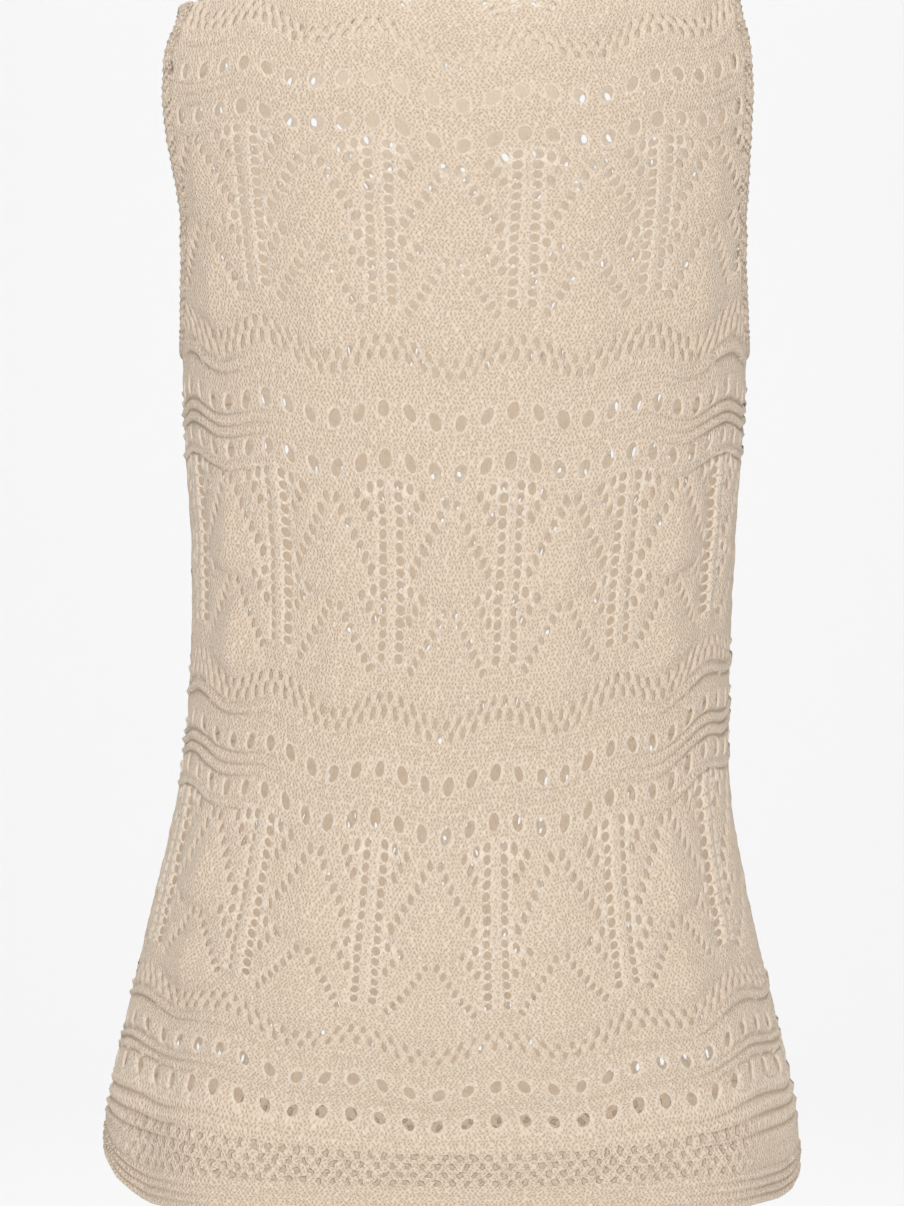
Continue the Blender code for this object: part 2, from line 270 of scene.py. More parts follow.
EDGE_POINT_SPACING = 0.0016  # along the rolled edges
EDGE_SIDES = 12  # round their section
EDGE_SQUARENESS = 0.8  # power that rounds the section, 1 for an ellipse
EDGE_STITCH_POINTS = 3.0  # points along the edge to one of its stitches
EDGE_STITCH_SWELL = 0.15  # how much thicker it is at each stitch
EDGE_UNEVENNESS, EDGE_SCALE = 0.5, 0.11  # how much its size drifts, and how quickly
EDGE_SMOOTHING = 3  # passes that smooth the line it follows

STITCH_RELIEF = 0.0009  # height of the single stitches' surface
LOOP_SCALE, FIBRE_SCALE, DRIFT_SCALE = 0.9, 3.1, 0.16  # of the yarn's unevenness
WRONG_SIDE_SMOOTHNESS = 0.75  # how much flatter the stitches are on the wrong side
FIBRE_CONTRAST = 3.2
# Painted highlight, which turns the yarn to the rim colour: on the strands round the eyelets,
# the crests of the ridges and the loops; a power for the first, and the most of all together
RIM_LIGHT, RIDGE_LIGHT, LOOP_LIGHT = 0.7, 0.2, 0.5
RIM_POWER, MOST_LIGHT = 1.5, 0.9
# Painted shade, which turns the yarn to the deep colour: in the gaps between loops, the
# grooves and the pits; and the most of the first two together
GAP_SHADE, GROOVE_SHADE, PIT_SHADE, MOST_SHADE = 0.82, 0.34, 0.55, 0.95
RIM_FILLS = 0.7  # how much of the painted shade in the gaps is left out round an eyelet
# Shares of the loops, the fibres, the strands round the eyelets and the pits in the relief
LOOP_SHARE, FIBRE_SHARE, RIM_SHARE, PIT_SHARE = 0.4, 0.45, 0.5, 1.3

# How quickly the eyelets' sizes, the straying of stitches and the puckers change from one
# stitch to the next
PICK_SCALE, STRAY_SCALE, PUCKER_SCALE = 0.63, 0.21, 0.33
SEED_STEP = 7.3  # how far apart in those the seeds lie
LARGEST_EYELET = 1.1  # no eyelet is larger than this share of its charted size
TRIM_MARGIN = 0.02  # stitches that the cloth may reach past its form
RIM_SWELL, RIM_THINNING = 0.12, 0.5  # shares of the cloth's thickness, round an eyelet

# ---------------------------------------------------------------- the studio, metres
CAMERA_SIDE = -0.0024
CAMERA_HEIGHT = -0.2483
CAMERA_PITCH = math.radians(-1.54)
FLOOR = -1.15
WALL_PLACE, WALL_TOP, WALL_TURN = 6.4, 8.0, 1.6  # the turn is a quarter round from the floor
BACKDROP_WIDTH, BACKDROP_START = 24.0, -18.0
TURN_FACES = 16
KEY_LIGHT = ((0.0, -3.6, 0.9), (0.0, 0.0, -0.30), (1.6, 1.6))
COOL = (0.78, 0.91, 1.0)
# The other soft lights: name, place, target, width and height, watts, colour. The last two
# stand inside the garment and light the wrong side of its front.
LIGHTS = (
    ("top_light", (0.0, 0.6, 3.4), (0.0, 2.6, -0.2), (2.2, 2.2), 61.5),
    ("wall_light", (0.0, 3.4, 3.6), (0.0, 6.4, -0.6), (3.0, 3.0), 64.0),
    ("inner_light", (0.0, -0.02, -0.26), (0.0, 1.0, -0.26), (0.24, 0.62), 0.25, COOL),
    ("collar_light", (0.0, -0.02, -0.11), (0.0, 1.0, -0.11), (0.20, 0.20), 0.05, COOL),
)


# ---------------------------------------------------------------- form functions
def curve_through(x, known_x, known_y):
    """Smooth values at x of the curve through the known points."""
    known_x, known_y = np.asarray(known_x, float), np.asarray(known_y, float)
    slopes = np.gradient(known_y, known_x)
    x = np.clip(x, known_x[0], known_x[-1])
    i = np.clip(np.searchsorted(known_x, x) - 1, 0, len(known_x) - 2)
    span = known_x[i + 1] - known_x[i]
    t = (x - known_x[i]) / span
    a = known_y[i] * (1 + 2 * t) * (1 - t) ** 2 + slopes[i] * span * t * (1 - t) ** 2
    b = known_y[i + 1] * t * t * (3 - 2 * t) - slopes[i + 1] * span * t * t * (1 - t)
    return a + b


def table_value(table, columns, column, at, curve=np.interp):
    """One column of a table at any value of its first column."""
    k = columns.index(column)
    return curve(at, [row[0] for row in table], [row[k] for row in table])


def ring_value(column, height):
    """One column of the ring table at any height."""
    return table_value(BODY_RINGS, RING_COLUMNS, column, height, curve_through)


def course_value(column, course):
    """One column of the course table at any course."""
    return table_value(COURSES, COURSE_COLUMNS, column, course, curve_through)


def part_way(x, low, high):
    """0 at low or before, 1 at high or past it, and even in between."""
    return np.clip((x - low) / (high - low), 0, 1)


def ease(x, low, high):
    """0 below low, 1 above high, and smooth in between."""
    t = part_way(x, low, high)
    return t * t * (3 - 2 * t)


def quarter_round(t, power):
    """1 at 0 and 0 at 1, along a quarter of a rounded square."""
    return np.maximum(1 - t**power, 0) ** (1 / power)


def unit(vectors):
    """The same directions with length 1."""
    return vectors / np.linalg.norm(vectors, axis=-1, keepdims=True)


def form_point(panel, angle, height):
    """A point of the cloth's middle surface. The angle is 0 at the centre of the panel
    and 90 degrees at the side seam on +X; height is that of the ring it lies on."""
    angle, height = np.broadcast_arrays(np.radians(angle), np.asarray(height, float))
    yoke = quarter_round(part_way(height, YOKE_START, TOP_LINE), YOKE_SQUARENESS)
    depth = ring_value(panel + "_depth", height) * yoke
    wide = ring_value("half_width", height)
    swell = np.zeros_like(height)
    for name, at, spread, deep, upper in FOLDS:
        if name == panel:
            near = np.exp(-(((np.degrees(angle) - at) / spread) ** 2))
            swell = swell + deep * near * ease(-height, -upper, -HEM)
    x = (wide + swell) * np.sin(angle)
    y = np.maximum((depth + swell) * np.cos(angle), SEAM_GAP / 2)
    carried = ease(height, UNDERARM, TOP_LINE)
    fall = SHOULDER_SLOPE * (np.hypot(x, NAPE_ROUND) - NAPE_ROUND)
    z = height + carried * (SHOULDER_TILT * x - fall)
    x = x + ring_value("sway", height)
    return np.stack([x, -y if panel == "back" else y, z], axis=-1)


def form_surface(panel, angle, height):
    """Points of the cloth's middle surface and the outward directions there, which are
    level at the seams."""
    turn, rise = 0.2, 0.0004
    points = form_point(panel, angle, height)
    height = np.minimum(height, TOP_LINE - 2 * rise)
    across = form_point(panel, angle + turn, height) - form_point(panel, angle - turn, height)
    up = form_point(panel, angle, height + rise) - form_point(panel, angle, height - rise)
    outward = unit(np.cross(across, up) if panel == "back" else -np.cross(across, up))
    outward[np.abs(points[..., 1]) < SEAM_GAP, 1] = 0
    return points, unit(outward)


def armhole_angle(height, side):
    """Where a panel ends at a side, -1 or 1: the side seam, then the armhole."""
    low = part_way(height, ARMHOLE_FULL, UNDERARM)
    bite = ARMHOLE_BITE * quarter_round(low, ARMHOLE_ROUND)
    end = 0 if side < 0 else 1
    over = SHOULDER_ROUND[end] * ease(height, TOP_LINE - SHOULDER_ROUND_FROM[end], TOP_LINE)
    return np.where(height < UNDERARM, 90.0, 90.0 - bite - over)


def neck_angle(panel, height):
    """Half the opening's width, in degrees, at a height on the neckline."""
    widest, level, bottom, roundness = NECKLINES[panel]
    return widest * quarter_round(part_way(height, level, bottom), roundness)


def neck_height(panel, angle):
    """The height of the neckline's lower part at an angle from the panel's centre."""
    widest, level, bottom, roundness = NECKLINES[panel]
    out = np.clip(np.abs(angle) / widest, 0, 1)
    return level - (level - bottom) * quarter_round(out, roundness)


def hem_turn(angle):
    """How far the hem turns up at an angle from a panel's centre."""
    sides = zip((-1, 1), HEM_TURN_FROM, HEM_TURN_UP)
    return sum(rise * ease(side * angle, start, HEM_TURN_FULL) for side, start, rise in sides)


def row_heights(panel):
    """Heights of the form's rows at the side, from hem to shoulder, and the number of
    the row at the neckline's corner."""
    low = np.linspace(HEM, UNDERARM, BODY_ROWS + 1)
    turn = np.linspace(0, math.pi, ARMHOLE_ROWS + 1)[1:]
    rows = np.concatenate([low, UNDERARM + (TOP_LINE - UNDERARM) * (1 - np.cos(turn)) / 2])
    corner_height = neck_height(panel, NECK_CORNER * NECKLINES[panel][0])
    corner = int(np.argmin(np.abs(rows - corner_height)))
    rows[corner] = corner_height
    return rows, corner


def panel_grid(panel):
    """Angle and height of every point of a panel's form: columns across, rows up. Above
    the neckline's corner row only the columns of the straps are used."""
    rows, corner = row_heights(panel)
    corner_angle = NECK_CORNER * NECKLINES[panel][0]
    inner = np.where(rows < rows[corner], corner_angle, neck_angle(panel, rows))
    share = np.linspace(0, 1, STRAP_COLUMNS + 1)[:, None]
    left, right = (
        inner + (armhole_angle(rows, side) - inner) * share for side in (-1, 1)
    )
    middle = np.linspace(-1, 1, CENTRE_COLUMNS + 1)[1:-1, None] * inner
    angle = np.concatenate([-left[::-1], middle, right])
    height = np.tile(rows, (len(angle), 1))
    height += hem_turn(angle) * (1 - ease(rows, HEM, UNDERARM))
    sag = (neck_height(panel, angle) - rows[corner]) * ease(
        rows, rows[corner] - NECK_SAG_REACH, rows[corner]
    )
    centre = slice(STRAP_COLUMNS + 1, STRAP_COLUMNS + CENTRE_COLUMNS)
    height[centre] += sag[centre]
    return angle, height, corner


def panel_quads(columns, rows, corner):
    """The grid's faces: every one below the corner row, and the straps above it."""
    first_centre, last_centre = STRAP_COLUMNS, STRAP_COLUMNS + CENTRE_COLUMNS
    for i in range(columns - 1):
        for j in range(rows - 1):
            if j < corner or not first_centre <= i < last_centre:
                yield (i, j), (i + 1, j), (i + 1, j + 1), (i, j + 1)


def stitch_across(panel, angle, height):
    """How many stitches from the panel's centre a point of the form lies: its share of
    the way to the side seam, read from a table of each degree at even levels."""
    half, count, last = 90, 160, 0.999
    steps = np.linspace(-half, half, 2 * half + 1)
    levels = np.linspace(height.min(), height.max(), count)
    ring = form_point(panel, steps[:, None], levels[None, :])
    runs = np.linalg.norm(np.diff(ring, axis=0), axis=-1)
    along = np.concatenate([np.zeros((1, len(levels))), np.cumsum(runs, axis=0)])
    share = along - along[half]
    share = np.where(share > 0, share / share[-1], share / -share[0])
    column = np.clip(angle + half, 0, 2 * half - 1 + last)
    row = np.clip((height - levels[0]) / (levels[1] - levels[0]), 0, count - 2 + last)
    i, j = column.astype(int), row.astype(int)
    a, b = column - i, row - j
    out = (
        share[i, j] * (1 - a) * (1 - b)
        + share[i + 1, j] * a * (1 - b)
        + share[i, j + 1] * (1 - a) * b
        + share[i + 1, j + 1] * a * b
    )
    closer = np.interp(height, *np.array(CLOSENESS).T)
    return PANEL_STITCHES * out * (1 - closer + closer * np.abs(out))


def course_height(course, across, angle):
    """The ring height of a course at so many stitches from the panel's centre."""
    out = np.abs(across) / CLIMB_REACH
    past = np.maximum(out - CLIMB_SLOWS, 0)
    out = out - np.where(across < 0, *LEVELLING) * past**2 / (past + LEVELLING_ROUND)
    left, right = (
        course_value(side + "_climb", course) * out ** course_value(side + "_power", course)
        for side in ("left", "right")
    )
    climb = np.where(across < 0, left, right)
    to_hem = ease(course, HEM_STARTS, HEM_COURSE)
    return course_value("height", course) + climb * (1 - to_hem) + hem_turn(angle) * to_hem


def course_at(across, angle, height):
    """The course that passes a point of the form, found by halving."""
    halvings = 24
    above = np.full_like(height, COURSES[0][0])
    below = np.full_like(height, float(HEM_COURSE))
    for _ in range(halvings):
        middle = (above + below) / 2
        higher = course_height(middle, across, angle) > height
        above = np.where(higher, middle, above)
        below = np.where(higher, below, middle)
    return (above + below) / 2


# ---------------------------------------------------------------- node expressions
def maths_method(operation, reflected=False):
    """A method that adds a Math node for an operation on a Wire and another value."""

    def method(self, other=0.0):
        pair = (other, self) if reflected else (self, other)
        return self.nodes.maths(operation, *pair)

    return method


class Wire:
    """A node's output socket that can be used in Python expressions."""

    def __init__(self, nodes, socket):
        self.nodes = nodes
        self.socket = socket

    __add__ = maths_method("ADD")
    __radd__ = maths_method("ADD", reflected=True)
    __sub__ = maths_method("SUBTRACT")
    __rsub__ = maths_method("SUBTRACT", reflected=True)
    __neg__ = __rsub__
    __mul__ = maths_method("MULTIPLY")
    __rmul__ = maths_method("MULTIPLY", reflected=True)
    __truediv__ = maths_method("DIVIDE")
    __rtruediv__ = maths_method("DIVIDE", reflected=True)
    __pow__ = maths_method("POWER")
    __rpow__ = maths_method("POWER", reflected=True)
    __abs__ = maths_method("ABSOLUTE")
    sine = maths_method("SINE")
    cosine = maths_method("COSINE")
    sign = maths_method("SIGN")
    at_least = maths_method("MAXIMUM")
    at_most = maths_method("MINIMUM")
    less_than = maths_method("LESS_THAN")


class Nodes:
    """A node tree that is filled in by calls."""

    def __init__(self, tree):
        self.tree = tree

    def add(self, kind, settings=None, inputs=None, output=0):
        """Adds a node, with its settings first, and returns one output as a Wire."""
        node = self.tree.nodes.new(kind)
        for name, value in (settings or {}).items():
            setattr(node, name, value)
        for key, value in (inputs or {}).items():
            for one in value if isinstance(value, list) else [value]:
                if isinstance(one, Wire):
                    self.tree.links.new(one.socket, node.inputs[key])
                else:
                    node.inputs[key].default_value = one
        if not node.outputs:
            return node
        return Wire(self, node.outputs[output])

    def maths(self, operation, a, b=0.0):
        """A Math node."""
        return self.add("ShaderNodeMath", {"operation": operation}, {0: a, 1: b})

    def again(self, wire, output):
        """Another output of the node that a Wire comes from."""
        return Wire(self, wire.socket.node.outputs[output])

    def vectors(self, operation, a, b=None, scale=None):
        """A Vector Math node."""
        inputs = {0: a}
        if b is not None:
            inputs[1] = b
        if scale is not None:
            inputs["Scale"] = scale
        return self.add("ShaderNodeVectorMath", {"operation": operation}, inputs)

    def blend(self, factor, a, b):
        """A Mix node for colours."""
        kind = {"data_type": "RGBA", "blend_type": "MIX", "clamp_factor": True}
        return self.add("ShaderNodeMix", kind, {0: factor, 6: a, 7: b}, output=2)


def noise(nodes, place, scale, detail=2.0, roughness=0.5, flat=False, output=0):
    """A noise's value, or its colour where the output is 1."""
    return nodes.add(
        "ShaderNodeTexNoise", {"noise_dimensions": "2D" if flat else "3D"},
        {"Vector": place, "Scale": scale, "Detail": detail, "Roughness": roughness}, output,
    )


def stray(nodes, place, scale, flat=False):
    """A vector that wanders from place to place, up to a half each way."""
    colour = noise(nodes, place, scale, detail=1.0, flat=flat, output=1)
    return nodes.vectors("SUBTRACT", colour, (0.5, 0.5, 0.5))


# ---------------------------------------------------------------- settings
def length_setting(name, description, default, least, most):
    """A property that holds a length."""
    return FloatProperty(
        name=name, description=description, default=default, min=least, max=most, unit="LENGTH",
    )


def colour_setting(name, description, default):
    """A property that holds a colour."""
    return FloatVectorProperty(
        name=name, description=description, default=default,
        size=3, min=0.0, max=1.0, subtype="COLOR",
    )


class KnitSizes(bpy.types.PropertyGroup):
    """Sizes of the lace knit."""

    cloth_thickness: length_setting(
        "Cloth Thickness", "Thickness of the knitted cloth", 0.0014, 0.0005, 0.003
    )
    ridge_height: length_setting(
        "Ridge Height", "How far the purled ridges stand out", 0.00055, 0.0, 0.002
    )
    swell_height: length_setting(
        "Leaf Height", "How far the leaves and spines stand out", 0.0024, 0.0, 0.004
    )
    eyelet_scale: FloatProperty(
        name="Eyelet Size", description="Size of every eyelet, 1 as charted",
        default=1.0, min=0.3, max=1.15, subtype="FACTOR",
    )
    eyelet_variation: FloatProperty(
        name="Eyelet Variation", description="How much the eyelets differ in size",
        default=0.16, min=0.0, max=1.0, subtype="FACTOR",
    )
    unevenness: FloatProperty(
        name="Unevenness", description="How far stitches stray, in stitches",
        default=0.34, min=0.0, max=1.5,
    )
    seed: IntProperty(name="Seed", description="Fixes the random parts", default=4)


class EdgeSizes(bpy.types.PropertyGroup):
    """Sizes of the rolled edges."""

    width: length_setting("Edge Width", "Width of the rolled edge", 0.0074, 0.002, 0.02)
    thickness: length_setting(
        "Edge Thickness", "Thickness of the rolled edge", 0.0036, 0.001, 0.01
    )
    overlap: length_setting(
        "Overlap", "How far the edge laps over the lace", 0.0016, 0.0, 0.004
    )


class YarnColours(bpy.types.PropertyGroup):
    """Colours of the yarn, with the painted shade and the painted highlight laid on it."""

    light: colour_setting("Yarn", "Colour of the yarn where it is lit", (0.77, 0.64, 0.51))
    # The deep colour is painted shade: the gaps, the purled grooves and the pits are darkened to
    # it
    deep: colour_setting(
        "Between Stitches", "Colour in the gaps between stitches", (0.52, 0.40, 0.29)
    )
    # The rim colour is a painted highlight: eyelet strands, ridges' crests and loops are
    # lightened to it
    rim: colour_setting(
        "Eyelet Rims", "Colour of the strands round the eyelets", (0.92, 0.81, 0.68)
    )
    warm: colour_setting(
        "Warm Tone", "Warmer tone that drifts through the yarn", (0.79, 0.63, 0.48)
    )


class StudioSettings(bpy.types.PropertyGroup):
    """Camera and light."""

    distance: length_setting(
        "Camera Distance", "From the camera to the garment's middle", 3.0, 1.0, 10.0
    )
    lens: FloatProperty(
        name="Lens", description="Focal length", default=0.1703, unit="CAMERA",
    )
    ambient: FloatProperty(
        name="Room Light", description="Strength of the light from all round",
        default=0.54, min=0.0, max=4.0,
    )
    key: FloatProperty(
        name="Key Light", description="Power of the large soft light in front",
        default=67.0, min=0.0, max=1000.0, unit="POWER",
    )


def settings():
    """The add-on's settings on the scene."""
    scene = bpy.context.scene
    return scene.knit_sizes, scene.edge_sizes, scene.yarn_colours, scene.studio


# ---------------------------------------------------------------- finishes
def knit_texture(stitch, course):
    """Height of the stitches' surface, -1 in the small gaps to 1 on the loops between
    them; the gaps of each row stand between those of the next."""
    across = (stitch * (FINE_STITCHES * math.pi)).cosine()
    return -(across * (course * (FINE_COURSES * math.pi)).cosine())


def hem_pits(stitch, course):
    """The small pits over the hem, 0 to 1, darkened with painted shade: each row stands
    between those of the next.
    """
    first, last = PITS
    across = ((stitch - 0.5) * math.pi).cosine()
    down = ((course - first) * (math.pi / 2)).cosine()
    pit = ((across * down - PIT_EDGE) * PIT_STEEPNESS).at_least(0.0).at_most(1.0)
    over = (course - (first - PITS_MARGIN)).sign() * 0.5 + 0.5
    under = ((last + PITS_MARGIN) - course).sign() * 0.5 + 0.5
    within = ((PITS_REACH - abs(stitch)) / PITS_FADE).at_least(0.0).at_most(1.0)
    return pit * over * under * within


def new_material(name):
    """An empty material and its nodes."""
    material = bpy.data.materials.new(name)
    material.use_nodes = True
    material.node_tree.nodes.clear()
    return material, Nodes(material.node_tree)


def cloth_place(nodes):
    """The piece's map, and a point's stitch and course, with a little waywardness."""
    uv = nodes.add("ShaderNodeUVMap", {"uv_map": "cloth"})
    place = nodes.vectors("ADD", uv, stray(nodes, uv, LOOP_SCALE, flat=True))
    split = nodes.add("ShaderNodeSeparateXYZ", inputs={0: place})
    return uv, split, nodes.again(split, 1)


def yarn_finish(name, colours):
    """The cream yarn: matt, with each stitch's own relief and tone. Painted highlight lies on
    the eyelets' strands, the ridges' crests and the loops; painted shade in gaps, grooves and
    pits."""
    material, nodes = new_material(name)
    uv, stitch, course = cloth_place(nodes)
    ridge, rim, wrong_side = (
        nodes.add("ShaderNodeAttribute", {"attribute_name": attribute}, output=2)
        for attribute in ("ridge", "rim", "wrong_side")
    )
    fibre = noise(nodes, uv, FIBRE_SCALE, detail=3.0, roughness=0.7, flat=True)
    drift = noise(nodes, uv, DRIFT_SCALE, flat=True)
    knit = knit_texture(stitch, course) * (1.0 - wrong_side * WRONG_SIDE_SMOOTHNESS)
    pits = hem_pits(stitch, -course)
    uneven = ((fibre - 0.5) * FIBRE_CONTRAST + 1.0).at_least(0.1)
    # Painted shade in the small gaps between loops, less of it round the eyelets
    gap = (-knit).at_least(0.0) * (1.0 - rim * RIM_FILLS) * uneven
    groove = (-ridge).at_least(0.0)
    loop = knit.at_least(0.0) * uneven
    # Painted highlight on the strands round the eyelets, the ridges' crests and the loops
    lit = rim**RIM_POWER * RIM_LIGHT + ridge.at_least(0.0) * RIDGE_LIGHT + loop * LOOP_LIGHT
    # Painted shade in the gaps between loops and in the purled grooves
    depth = gap * GAP_SHADE + groove**2 * GROOVE_SHADE
    colour = nodes.blend(drift, (*colours.light, 1.0), (*colours.warm, 1.0))
    colour = nodes.blend(lit.at_most(MOST_LIGHT), colour, (*colours.rim, 1.0))
    colour = nodes.blend(depth.at_most(MOST_SHADE), colour, (*colours.deep, 1.0))
    # Painted shade in the small pits over the hem
    colour = nodes.blend(pits * PIT_SHADE, colour, (*colours.deep, 1.0))
    relief = knit * LOOP_SHARE + fibre * FIBRE_SHARE + rim * RIM_SHARE - pits * PIT_SHARE
    bump = nodes.add("ShaderNodeBump", inputs={
        "Strength": 0.9, "Distance": STITCH_RELIEF, "Height": relief,
    })
    shader = nodes.add("ShaderNodeBsdfPrincipled", inputs={
        "Base Color": colour, "Roughness": 0.86, "Metallic": 0.0, "Normal": bump,
        "Specular IOR Level": 0.2, "Sheen Weight": 0.12, "Sheen Roughness": 0.5,
    })
    nodes.add("ShaderNodeOutputMaterial", inputs={"Surface": shader})
    return material


# ---------------------------------------------------------------- the knitting, flat
def eyelets(runs, rows):
    """Every eyelet of one repeat: stitch, course, half width, half height, lean."""
    spine = REPEAT_STITCHES / 2
    for out, course, step_out, step_course, count, wide, high, lean in runs:
        for k in range(count):
            for side in (-1, 1):
                across = spine + side * (out + k * step_out)
                yield across, course + k * step_course, wide, high, side * lean
    for course, first, step, wide, high in rows:
        across = first
        while across < REPEAT_STITCHES:
            lean = -ROW_LEAN * math.sin(2 * math.pi * across / REPEAT_STITCHES)
            yield across, course, wide, high, lean
            across += step


def rim_points(eyelet):
    """Points round an eyelet's rim, as offsets from its middle."""
    _, _, wide, high, lean = eyelet
    sides = LARGE_RIM if wide > LARGE_EYELET else SMALL_RIM
    turn = 2 * math.pi * (np.arange(sides) + 0.5) / sides
    x, y = wide * np.cos(turn), high * np.sin(turn)
    cos, sin = math.cos(math.radians(lean)), math.sin(math.radians(lean))
    return np.stack([x * cos + y * sin, y * cos - x * sin], axis=-1)


def rim_brightness(eyelet):
    """How bright the painted highlight on the strands round an eyelet is."""
    _, _, wide, _, lean = eyelet
    if wide < SMALL_EYELET:
        return SMALL_GLOW
    return LEANING_GLOW if wide < LARGE_EYELET and lean else FULL_GLOW


def ridge_bands_at(course, bands):
    """Relief of the purled ridges at a course, -1 in a groove to 1 on a crest."""
    relief = np.zeros_like(course)
    outside, inside = RIDGE_ONSET
    for start, end, crest in bands:
        shown = ease(course, start - outside, start + inside)
        shown = shown * (1 - ease(course, end - inside, end + outside))
        relief += shown * np.cos(math.pi * (course - crest))
    return relief


def grid_rows(top, bottom, bands):
    """Courses at which the flat grid has a row of points, and the points in that row:
    closer rows of fewer points on the ridges."""
    rows, course = [], float(top)
    while course <= bottom:
        ridged = any(
            start - RIDGE_MARGIN < course < end + RIDGE_MARGIN for start, end, _ in bands
        )
        few = ridged and top < course < bottom
        rows.append((course, RIDGE_ROW_POINTS if few else REPEAT_STITCHES))
        step = 0.5 if ridged and course < bottom else 1.0
        if course % 1 and not ridged:
            step += 0.5  # back to whole courses
        last = course
        course += step
        if last < bottom < course:
            course = float(bottom)
    return rows


def wave_at(across, course, dies_out):
    """How many courses higher than at a leaf's centre a row lies."""
    more, at, spread = DEEP_WAVE
    in_repeat = np.mod(course - TILE_TOP, REPEAT_COURSES) + TILE_TOP
    depth = WAVE + more * np.exp(-(((in_repeat - at) / spread) ** 2))
    if dies_out:
        depth = WAVE * (1 - ease(course, *HEM_LEVELS))
    return depth * np.sin(math.pi * across / REPEAT_STITCHES) ** 2


def flat_repeat(name, top, bottom, holes, bands, scale, dies_out=False):
    """One repeat of the lace as a flat mesh: a stitch wide is 1 along X and a course
    high is 1 along -Y. Attributes say where its ridges, rims and leaves are."""
    holes = list(holes)
    centres = np.array([hole[:2] for hole in holes])
    sizes = np.array([hole[2:4] for hole in holes]) * scale

    # Each place is a stitch and a course, its offset from an eyelet's middle, brightness
    places, edges = [], []
    for hole in holes:
        first, bright = len(places), rim_brightness(hole)
        ring = rim_points(hole) * scale
        places += [(hole[0] + x, hole[1] + y, x, y, bright) for x, y in ring]
        edges += [(first + k, first + (k + 1) % len(ring)) for k in range(len(ring))]
    for course, count in grid_rows(top, bottom, bands):
        for across in np.linspace(0, REPEAT_STITCHES, count + 1):
            away = (np.array([across, course]) - centres) / (sizes + EYELET_MARGIN)
            at_border = across in (0.0, REPEAT_STITCHES) or course in (top, bottom)
            if at_border or (away**2).sum(axis=1).min() > 1.0:
                places.append((across, course, 0.0, 0.0, 0.0))
    every_triangle, same_point = 0, 1e-5
    points, _, faces, origins, _, _ = delaunay_2d_cdt(
        [Vector(place[:2]) for place in places], edges, [], every_triangle, same_point, True
    )
    points = np.array([tuple(point) for point in points])
    known = np.array([places[origin[0]] if origin else (0.0,) * 5 for origin in origins])
    rim = known[:, 4]
    kept = []
    for face in faces:
        away = (points[list(face)].mean(axis=0) - centres) / sizes
        if (away**2).sum(axis=1).min() >= OPEN_WITHIN or not all(rim[v] for v in face):
            kept.append(face[::-1])

    across, course = points.T
    ridge = ridge_bands_at(course, bands)
    leaf = 0 * ridge if dies_out else leaf_relief(across, course)
    raised = course - wave_at(across, course, dies_out)
    mesh = bpy.data.meshes.new(name)
    mesh.from_pydata([(x, -y, 0.0) for x, y in zip(across, raised)], [], kept)
    store(mesh, "rim", "FLOAT", rim)
    store(mesh, "ridge", "FLOAT", ridge)
    store(mesh, "swell", "FLOAT", leaf)
    store(mesh, "from_middle", "FLOAT_VECTOR", known[:, 2:] * (1, -1, 0))
    mesh.update()
    return bpy.data.objects.new(name, mesh)


def upright_band(from_middle, course, spread, rises, ends):
    """1 along the middle of an upright band, and less to its sides and its two ends."""
    band = np.exp(-((from_middle / spread) ** 2))
    return band * ease(course, *rises) * (1 - ease(course, *ends))


def leaf_relief(across, course):
    """Swell of the spines and of each leaf, a tent between its two lines of eyelets, with
    a hollow beside each spine."""
    from_leaf = np.minimum(across, REPEAT_STITCHES - across)
    out = REPEAT_STITCHES / 2 - from_leaf
    spine = upright_band(out, course, *SPINE)
    hollow = upright_band(out - HOLLOW_PLACE, course, *HOLLOW)
    tents = np.zeros_like(across)
    for tip, foot, widest in LEAVES:
        along = part_way(course, tip, foot)
        half = np.maximum(widest * np.minimum(along * LEAF_WIDENS, 1.0), LEAF_TIP)
        tent = np.clip(1 - from_leaf / half, 0, 1)
        tents += tent * ease(along, *LEAF_RISES) * (1 - ease(along, *LEAF_ENDS))
    return SPINE_SWELL * spine + LEAF_SWELL * tents - HOLLOW_DEPTH * hollow


def store(mesh, name, kind, values):
    """Puts an attribute on a mesh's points."""
    item = mesh.attributes.new(name, kind, "POINT")
    key = "vector" if kind == "FLOAT_VECTOR" else "value"
    item.data.foreach_set(key, np.asarray(values, np.float32).ravel())


# ---------------------------------------------------------------- the worn form's mesh
def form_mesh(panel):
    """The panel's worn form as a fine grid. Each point knows its place in the flat
    knitting (stitch, minus course) and the cloth's outward direction."""
    angle, height, corner = panel_grid(panel)
    points, outward = form_surface(panel, angle, height)
    across = stitch_across(panel, angle, height)
    course = course_at(across, angle, height)
    start, drift = CENTRE_LEAF
    aside, higher = FRONT_SHIFT if panel == "front" else (0.0, 0.0)
    higher = higher * (1 - ease(course, *FRONT_LEVELS))
    flat = (across - start - drift * course + aside, -higher - course, 0 * course)
    columns, rows = angle.shape
    number = np.arange(columns * rows).reshape(columns, rows)
    quads = [[number[c] for c in quad] for quad in panel_quads(columns, rows, corner)]
    mesh = bpy.data.meshes.new(panel + "_form")
    mesh.from_pydata(points.reshape(-1, 3).tolist(), [], quads)
    relief, opening = knit_fields(panel, points, across, course, corner)
    for name, vectors in (
        ("flat_place", np.stack(flat, axis=-1)),
        ("outward", outward),
        ("relief", relief),
        ("opening", opening),
    ):
        store(mesh, name, "FLOAT_VECTOR", vectors)
    mesh.update()
    return mesh


